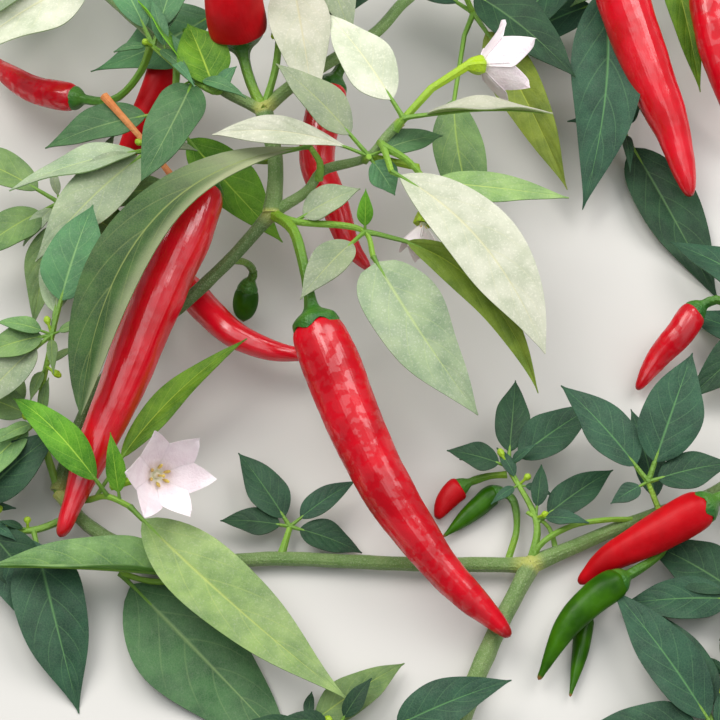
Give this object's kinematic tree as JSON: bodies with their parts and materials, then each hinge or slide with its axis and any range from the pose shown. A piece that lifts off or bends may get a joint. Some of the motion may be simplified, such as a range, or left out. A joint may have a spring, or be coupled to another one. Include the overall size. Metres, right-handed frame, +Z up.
{
  "type": "cut fruiting branch of a chilli pepper plant",
  "caption": "Cut fruiting branch of a chilli pepper plant, lying down: forking green stems, leaf sprays, glossy red and green fruits and white star flowers.",
  "frame": {"origin": "on the table under the middle of the branch's bounding box", "axes": "+Z up from the table, +Y from the cut end of the main stem towards the crown, +X to the right of someone who looks that way"},
  "size_m": [0.3364, 0.3702, 0.0904],
  "materials": {
    "stem": "matte",
    "leaf": "matte",
    "red_fruit": "gloss",
    "green_fruit": "gloss",
    "green_stalk": "satin",
    "petal": "matte"
  },
  "bodies": {
    "root": {"crown_left_bough": "stem", "crown_right_bough": "stem", "crown_stem": "stem", "front_shoot": "stem", "left_bough": "stem", "main_stem": "stem", "right_bough": "stem", "rising_bough": "stem", "corner_chilli": "red_fruit", "far_left_chilli": "red_fruit", "hidden_chilli": "red_fruit", "left_chilli": "red_fruit", "low_right_chilli": "red_fruit", "middle_chilli": "red_fruit", "rear_chilli": "red_fruit", "right_chilli": "red_fruit", "shaded_chilli": "red_fruit", "small_chilli": "red_fruit", "top_right_chilli": "red_fruit", "upright_chilli": "red_fruit", "corner_chilli_stalk": "green_stalk", "hidden_chilli_stalk": "green_stalk", "left_chilli_stalk": "green_stalk", "left_flower_stalk": "green_stalk", "low_right_chilli_stalk": "green_stalk", "middle_chilli_stalk": "green_stalk", "nodding_flower_stalk": "green_stalk", "right_chilli_stalk": "green_stalk", "top_flower_stalk": "green_stalk", "top_right_chilli_stalk": "green_stalk", "upright_chilli_stalk": "green_stalk", "green_chilli": "green_fruit", "hanging_green_chilli": "green_fruit", "small_green_chilli": "green_fruit", "young_chilli": "green_fruit", "left_flower": "petal", "nodding_flower": "petal", "top_flower": "petal", "bottom_spray": "leaf", "corner_spray": "leaf", "crown_end_spray": "leaf", "crown_left_spray": "leaf", "crown_top_spray": "leaf", "flower_spray": "leaf", "front_spray": "leaf", "hanging_spray": "leaf", "left_edge_spray": "leaf", "left_flower_spray": "leaf", "left_low_spray": "leaf", "left_shoot_spray": "leaf", "long_leaf_spray": "leaf", "low_spray": "leaf", "middle_spray": "leaf", "pale_leaf_spray": "leaf", "rear_spray": "leaf", "rear_top_spray": "leaf", "right_end_spray": "leaf", "right_spray": "leaf", "shoulder_spray": "leaf"}
  },
  "joints": []
}
